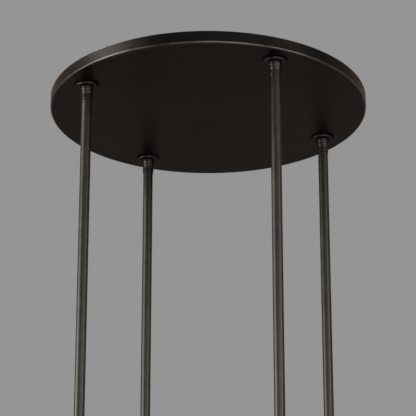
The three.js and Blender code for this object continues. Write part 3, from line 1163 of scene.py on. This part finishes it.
def bar(half: Point, turn: float) -> Section:
    """The outline of a bar about the middle.

    Args:
        half: half its length and half its width.
        turn: how far it is turned.

    Returns:
        The outline's points, anticlockwise.
    """
    length, width = half
    corners = ((-length, -width), (length, -width), (length, width), (-length, width))
    return [turned_point(corner, turn) for corner in corners]


def laid(mesh: Mesh) -> Mesh:
    """A mesh laid over so that its Y axis stands up and its Z axis runs along Y.

    Args:
        mesh: the mesh, which is changed.

    Returns:
        The same mesh.
    """
    for vert in mesh.vertices:
        x, y, z = vert.co
        vert.co = (x, -z, y)
    mesh.update()
    return mesh


def eased(bore: float, ease: float, bottom: float) -> Section:
    """The lower end of a bore, its edge broken by so much."""
    return [(bore, bottom + ease), (bore + ease, bottom)]


@dataclass(frozen=True)
class HexNut:
    """A hexagon nut with both faces chamfered, sized across its flats."""

    flats: float
    bore: float
    face_share: float = 0.97
    ease: float = 0.5
    chamfer_slope: float = math.tan(math.radians(30))
    steps_per_side: int = 14

    def mesh(self, bottom: float, top: float) -> Mesh:
        """The nut between two heights.

        Args:
            bottom: its lower face.
            top: its upper face.

        Returns:
            The mesh about its own axis.
        """
        face = self.flats / 2 * self.face_share
        count = 6 * self.steps_per_side
        half_side = math.pi / 6
        views = []
        for k in range(count):
            angle = math.tau * k / count
            off = (angle + half_side) % (2 * half_side) - half_side
            out = self.flats / 2 / math.cos(half_side - abs(off))
            drop = (out - face) * self.chamfer_slope
            view = [
                (self.bore, bottom + self.ease), (self.bore + self.ease, bottom),
                (face, bottom), (out, bottom + drop), (out, top - drop), (face, top),
                (self.bore + self.ease, top), (self.bore, top - self.ease),
            ]
            views.append((angle, view))
        return skinned(views)


@dataclass(frozen=True)
class ToothedWasher:
    """A lock washer whose outer teeth are twisted out of flat."""

    bore: float = 8.3
    root: float = 10.6
    tip: float = 13.0
    sheet: float = 0.8
    teeth: int = 14

    def mesh(self, bottom: float, top: float) -> Mesh:
        """The washer between two heights.

        Args:
            bottom: its lowest point.
            top: its highest point.

        Returns:
            The mesh about its own axis.
        """
        middle = (bottom + top) / 2
        twist = (top - bottom - self.sheet) / 2
        half = self.sheet / 2
        tooth_view = (
            (0.0, self.root, 0.0), (0.18, self.root, 0.0), (0.24, self.tip, -1.0),
            (0.5, self.tip, -0.3), (0.76, self.tip, 0.3), (0.94, self.tip, 1.0),
        )
        views = []
        for tooth in range(self.teeth):
            for part, out, lean in tooth_view:
                level = middle + twist * lean
                view = [
                    (self.bore, middle - half), (self.root, middle - half), (out, level - half),
                    (out, level + half), (self.root, middle + half), (self.bore, middle + half),
                ]
                views.append((math.tau * (tooth + part) / self.teeth, view))
        return skinned(views)


@dataclass
class StemSet(SubAssembly):
    """Everything at one stem, from the nut on the bracket down to the nut on the foot."""

    place: StemPlace
    cup_radius: float = 10.1
    ring_radius: float = 19.0
    ring_bore: float = 10.4
    ring_step: float = 1.2
    ring_step_height: float = 0.9
    ring_rounding: float = 1.9
    neck_middle: float = 9.2
    neck_mouth: float = 8.4
    neck_height: float = 13.5
    shoulder: float = 1.2
    taper: float = 0.38
    mouth_bore: float = 7.0
    mouth_dome: float = 14.5
    mouth_flat: Point = (0.2, 0.7)
    nipple: Thread = Thread(radius=8.0, depth=0.6, pitch=1.0, sides=72)
    nipple_bore: float = 5.0
    nipple_ease: float = 0.5
    ball_radius: float = 6.5
    seat_inner: float = 6.8
    seat_outer: float = 8.0
    cup_inner: float = 8.3
    lip_angle: float = 45.0
    seat_thickness: float = 1.2
    seat_foot: float = 1.5
    lower_seat_angles: Point = (-40.0, -3.0)
    stud: Thread = Thread(radius=3.8, depth=0.5, pitch=0.8, sides=48)
    stud_bore: float = 2.5
    stud_ease: float = 0.3
    stud_rise: float = 1.0
    dish: float = 14.9
    dish_setback: float = 0.35
    bead_radius: float = 9.3
    sleeve_radius: float = 8.75
    groove_radius: float = 8.15
    bead_height: float = 2.4
    bead_chamfer: float = 0.5
    bead_drop: float = 0.25
    groove_height: float = 0.7
    sleeve_height: float = 6.3
    sleeve_chamfer: float = 0.6
    coupler_bore: float = 4.1
    spigot_radius: float = 6.45
    tube_radius: float = 7.95
    tube_bore: float = 6.75
    foot: Thread = Thread(radius=6.35, depth=0.65, pitch=1.06, sides=72)
    foot_bore: float = 4.0
    foot_ease: float = 0.4
    foot_closing: float = 5.0
    flange_radius: float = 11.0
    flange_height: float = 3.0
    spigot_length: float = 12.0
    lock_nut: HexNut = HexNut(flats=24.0, bore=8.3)
    lock_washer: ToothedWasher = ToothedWasher()
    foot_nut: HexNut = HexNut(flats=19.0, bore=6.65)
    foot_washer: Point = (6.65, 12.0)
    sides: int = 96
    seat_sides: int = 64
    washer_sides: int = 72

    def span(self, node: str) -> Point:
        """Lowest and highest point of this stem's solid of that name."""
        return heights(f"{node}_{self.place.corner}")

    def swung(self, radius: float, out: float) -> float:
        """Height at which a sphere under the ball's centre is so far out from the axis."""
        return self.place.ball - math.sqrt(radius**2 - out**2)

    def add(self, node: str, mesh: Mesh, finish: FinishName) -> None:
        """Fits a piece on the stem's axis, in place of the solid of that name."""
        corner, at = self.place.corner, (self.place.x, self.place.y)
        self.fit(f"{node}_dressed_{corner}", mesh, finish, f"{node}_{corner}", at=at)

    def seat_ring(self) -> None:
        """Turns the ring that clamps the pan, set back at its top to stand off in shadow."""
        bottom, top = self.span("seat_ring")
        step = top - self.ring_step_height
        inset = self.ring_radius - self.ring_step
        corners = [
            Corner(self.ring_bore, bottom, 0.25),
            Corner(self.ring_radius, bottom, self.ring_rounding),
            Corner(self.ring_radius, step, 0.25),
            Corner(inset, step, 0.15),
            Corner(inset, top, 0.1),
            Corner(self.ring_bore, top, 0.1),
        ]
        self.add("seat_ring", turned(corners, self.sides), FinishName.FITTING)

    def swivel_cup(self) -> None:
        """Turns the cup: tapered neck with two soft steps, domed mouth and round seat inside."""
        ball = self.place.ball
        neck_top = self.span("seat_ring")[0]
        top = self.span("swivel_cup")[1]
        third = self.neck_height / 3
        lip = math.radians(self.lip_angle)
        lip_out = self.cup_inner * math.cos(lip)
        lip_up = ball - self.cup_inner * math.sin(lip) - self.seat_thickness
        mouth = [Corner(self.mouth_bore, self.swung(self.mouth_dome, self.mouth_bore), 0.12)]
        for out in (self.mouth_bore + flat for flat in self.mouth_flat):
            mouth.append(Corner(out, self.swung(self.mouth_dome, out)))
        neck = [
            Corner(self.neck_mouth - self.taper / 4, neck_top - self.neck_height, 0.3),
            Corner(self.neck_mouth + self.taper / 2, neck_top - 2 * third - self.shoulder, 0.9),
            Corner(self.neck_middle - self.taper / 2, neck_top - 2 * third, 0.9),
            Corner(self.neck_middle + self.taper / 4, neck_top - third - self.shoulder, 0.9),
            Corner(self.cup_radius - self.taper, neck_top - third, 0.9),
            Corner(self.cup_radius, neck_top, 0.6),
            Corner(self.cup_radius, top, 0.3),
        ]
        seat = [
            Corner(self.cup_inner, top, 0.3),
            *arc(ball, self.cup_inner, 0.0, -self.lip_angle),
            Corner(lip_out, lip_up, 0.15),
        ]
        self.add("swivel_cup", turned(mouth + neck + seat, self.sides), FinishName.FITTING)

    def bracket_end(self) -> None:
        """Makes the threaded hollow nipple with its lock nut and toothed washer."""
        bottom, top = self.span("stem_nipple")
        bore, ease = self.nipple_bore, self.nipple_ease
        below = eased(bore, ease, bottom)
        above = [(bore + ease, top), (bore, top - ease)]
        nipple = self.nipple.mesh(bottom, top, below, above)
        self.add("stem_nipple", nipple, FinishName.BRASS)
        self.add("lock_nut", self.lock_nut.mesh(*self.span("lock_nut")), FinishName.ZINC)
        self.add("lock_washer", self.lock_washer.mesh(*self.span("lock_washer")), FinishName.ZINC)

    def seats(self) -> None:
        """Makes the nylon ring above the ball and the loose bronze seat under it."""
        ball = self.place.ball
        top = self.span("upper_seat")[1]
        bore = self.nipple_bore - self.seat_thickness
        low = math.degrees(math.asin(self.seat_foot / self.seat_inner))
        corners = [
            Corner(self.seat_outer, ball + self.seat_foot, 0.15),
            Corner(self.seat_outer, top, 0.3),
            Corner(bore, top, 0.3),
            *arc(ball, self.seat_inner, reach_angle(self.seat_inner, bore), low),
        ]
        self.add("upper_seat", turned(corners, self.seat_sides), FinishName.NYLON)
        low, high = self.lower_seat_angles
        lower = arc(ball, self.seat_outer, low, high) + arc(ball, self.seat_inner, high, low)
        self.add("lower_seat", turned(lower, self.seat_sides), FinishName.SEAT)

    def ball_stud(self) -> None:
        """Makes the ball and its hollow threaded stud in one piece."""
        ball = self.place.ball
        bottom = self.span("ball_stud")[0]
        thread_top = ball - self.dish + self.stud_rise
        low = -reach_angle(self.ball_radius, self.stud.core)
        high = reach_angle(self.ball_radius, self.stud_bore)
        neck = [Corner(self.stud.core, thread_top), *arc(ball, self.ball_radius, low, high)]
        above = [(corner.out, corner.up) for corner in neck]
        below = eased(self.stud_bore, self.stud_ease, bottom)
        mesh = self.stud.mesh(bottom, thread_top, below, above)
        self.add("ball_stud", mesh, FinishName.BRASS)

    def stem_coupler(self) -> None:
        """Turns the coupler: dished top, bead, groove, sleeve, and a spigot inside the stem."""
        bottom = self.span("stem_coupler")[0]
        sleeve_bottom = bottom + self.spigot_length
        sleeve_top = sleeve_bottom + self.sleeve_height
        bead_bottom = sleeve_top + self.groove_height
        bead_reach = reach_angle(self.dish, self.bead_radius - self.dish_setback)
        bore_reach = reach_angle(self.dish, self.coupler_bore)
        corners = [
            Corner(self.coupler_bore, bottom, 0.2),
            Corner(self.spigot_radius, bottom, 0.5),
            Corner(self.spigot_radius, sleeve_bottom, 0.1),
            Corner(self.groove_radius, sleeve_bottom, 0.1),
            Corner(self.sleeve_radius, sleeve_bottom + self.sleeve_chamfer, 0.5),
            Corner(self.sleeve_radius, sleeve_top, 0.25),
            Corner(self.groove_radius, sleeve_top, 0.12),
            Corner(self.groove_radius, bead_bottom, 0.12),
            Corner(self.bead_radius, bead_bottom + self.bead_chamfer, 0.6),
            Corner(self.bead_radius, bead_bottom + self.bead_height - self.bead_drop, 0.3),
            *arc(self.place.ball, self.dish, -bead_reach, -bore_reach),
        ]
        self.add("stem_coupler", turned(corners, self.sides), FinishName.FITTING)

    def stem_tube(self) -> None:
        """Draws the stem tube, its cut ends lightly broken."""
        radii = (self.tube_bore, self.tube_radius)
        mesh = ring(radii, self.span("stem_tube"), (0.2, 0.3, 0.3, 0.2), self.sides)
        self.add("stem_tube", mesh, FinishName.TUBE)

    def stem_foot(self) -> None:
        """Makes the foot (spigot, flange and threaded shank) with its washer and nut."""
        bottom, top = self.span("stem_foot")
        flange_top = top - self.spigot_length
        flange_bottom = flange_top - self.flange_height
        below = eased(self.foot_bore, self.foot_ease, bottom)
        corners = [
            Corner(self.foot.core, flange_bottom),
            Corner(self.flange_radius, flange_bottom, 0.35),
            Corner(self.flange_radius, flange_top, 0.5),
            Corner(self.spigot_radius, flange_top, 0.3),
            Corner(self.spigot_radius, top, 0.7),
            Corner(self.foot_bore, top, 0.4),
            Corner(self.foot_bore, bottom + self.foot_closing),
        ]
        above = rounded(corners)[:-1]
        foot = self.foot.mesh(bottom, flange_bottom, below, above)
        self.add("stem_foot", foot, FinishName.BRASS)
        levels, roundings = self.span("foot_washer"), (0.2, 0.35, 0.2, 0.35)
        washer = ring(self.foot_washer, levels, roundings, self.washer_sides)
        self.add("foot_washer", washer, FinishName.ZINC)
        self.add("foot_nut", self.foot_nut.mesh(*self.span("foot_nut")), FinishName.ZINC)

    def build(self) -> None:
        """Makes and fits the stem's pieces, from the canopy down."""
        self.seat_ring()
        self.swivel_cup()
        self.bracket_end()
        self.seats()
        self.ball_stud()
        self.stem_coupler()
        self.stem_tube()
        self.stem_foot()
        log.info("the %s stem is done", self.place.corner)


# Stage, lamps and camera


@dataclass(frozen=True)
class SoftBox:
    """A soft lamp that faces the canopy.

    turn is in degrees round from the camera, to its right. level is what it adds to a pale matte
    card that faces it, where 1 shows the card's colour as it is. Lengths are metres.
    """

    name: str
    turn: float
    height: float
    size: Point
    level: float
    away: float = 2.4

    def build(self, azimuth: float, target: Vector) -> None:
        """Hangs the lamp and points it at the target.

        Args:
            azimuth: the camera's own azimuth, in radians.
            target: what the lamp faces.
        """
        light = bpy.data.lights.new(self.name, "AREA")
        light.shape, light.size, light.size_y = "RECTANGLE", *self.size
        light.energy = self.level * math.pi**2 * self.away**2
        holder = placed(self.name, light)
        round_by, up = azimuth + math.radians(self.turn), math.radians(self.height)
        flat = math.cos(up)
        way = Vector((math.sin(round_by) * flat, -math.cos(round_by) * flat, math.sin(up)))
        holder.location = target + way * self.away
        holder.rotation_euler = (-way).to_track_quat("-Z", "Y").to_euler()
        holder.visible_camera = False


@dataclass
class Studio:
    """Pale floor, plain soft light, and the camera where the photograph was taken from.

    Lengths are metres here. The camera stands away from the canopy and below it, and looks up.
    """

    floor_level: float = -6.0
    floor_reach: float = 60.0
    floor_colour: Colour = (0.72, 0.72, 0.71)
    floor_shade: float = 0.97
    floor_roughness: float = 0.9
    floor_grain: Point = (0.4, 3.0)
    surround: Colour = (0.30, 0.30, 0.30)
    away: float = 3.0
    below: float = 1.3855
    azimuth: float = 0.2926
    tilt: float = 0.3804
    side: float = -0.0004
    lens: float = 176.6
    sensor: float = 36.0
    clip: Point = (0.05, 200.0)
    boxes: tuple[SoftBox, ...] = (
        SoftBox("soft_left", turn=-73.0, height=0.0, size=(1.8, 0.5), level=0.63),
        SoftBox("strip_left", turn=-79.0, height=36.0, size=(0.95, 0.5), level=0.62),
        SoftBox("soft_front", turn=14.0, height=-8.0, size=(1.9, 0.5), level=0.28),
        SoftBox("soft_right", turn=56.0, height=4.0, size=(0.9, 0.6), level=0.21),
    )

    def floor(self) -> None:
        """Lays the floor far below, where it hides nothing of the object."""
        shape = bmesh.new()
        reach = self.floor_reach
        corners = [(-reach, -reach), (reach, -reach), (reach, reach), (-reach, reach)]
        shape.faces.new([shape.verts.new((x, y, self.floor_level)) for x, y in corners])
        mesh = as_mesh(shape)
        sheet = NodeSheet("pale_floor")
        place = sheet.node("TexCoord").outputs["Object"]
        tone = sheet.noise(place, *self.floor_grain)
        darker = tuple(value * self.floor_shade for value in self.floor_colour)
        colour = sheet.blended(tone, darker, self.floor_colour)
        sheet.fill(sheet.surface, {"Base Color": colour, "Roughness": self.floor_roughness})
        mesh.materials.append(sheet.material)
        plane = placed("floor", mesh)

    def world(self) -> None:
        """Gives the room its even pale light."""
        world = bpy.data.worlds.new("studio")
        world.use_nodes = True
        light = world.node_tree.nodes["Background"]
        light.inputs["Color"].default_value = (*self.surround, 1.0)
        light.inputs["Strength"].default_value = 1.0
        bpy.context.scene.world = world

    def camera(self) -> None:
        """Sets the camera on the photograph's line of sight."""
        sin, cos = math.sin(self.azimuth), math.cos(self.azimuth)
        lens = bpy.data.cameras.new("camera")
        lens.lens, lens.sensor_width = self.lens, self.sensor
        lens.clip_start, lens.clip_end = self.clip
        holder = placed("camera", lens)
        holder.location = (
            sin * self.away + cos * self.side,
            -cos * self.away + sin * self.side,
            -self.below,
        )
        flat = math.cos(self.tilt)
        forward = Vector((-sin * flat, cos * flat, math.sin(self.tilt)))
        holder.rotation_euler = forward.to_track_quat("-Z", "Y").to_euler()
        bpy.context.scene.camera = holder

    def build(self) -> None:
        """Sets up the whole studio."""
        self.floor()
        self.world()
        self.camera()
        for box in self.boxes:
            box.build(self.azimuth, Vector())
        bpy.context.scene.view_settings.view_transform = "Standard"


def main() -> None:
    """Builds the stage, then each sub-assembly in the order in which it is put together."""
    logging.basicConfig(level=logging.INFO, format="%(name)s: %(message)s")
    Studio().build()
    places = stem_places()
    CeilingBracket().build()
    HubFittings().build()
    CanopyPan().build(places)
    for place in places:
        StemSet(place).build()


if __name__ == "__main__":
    main()
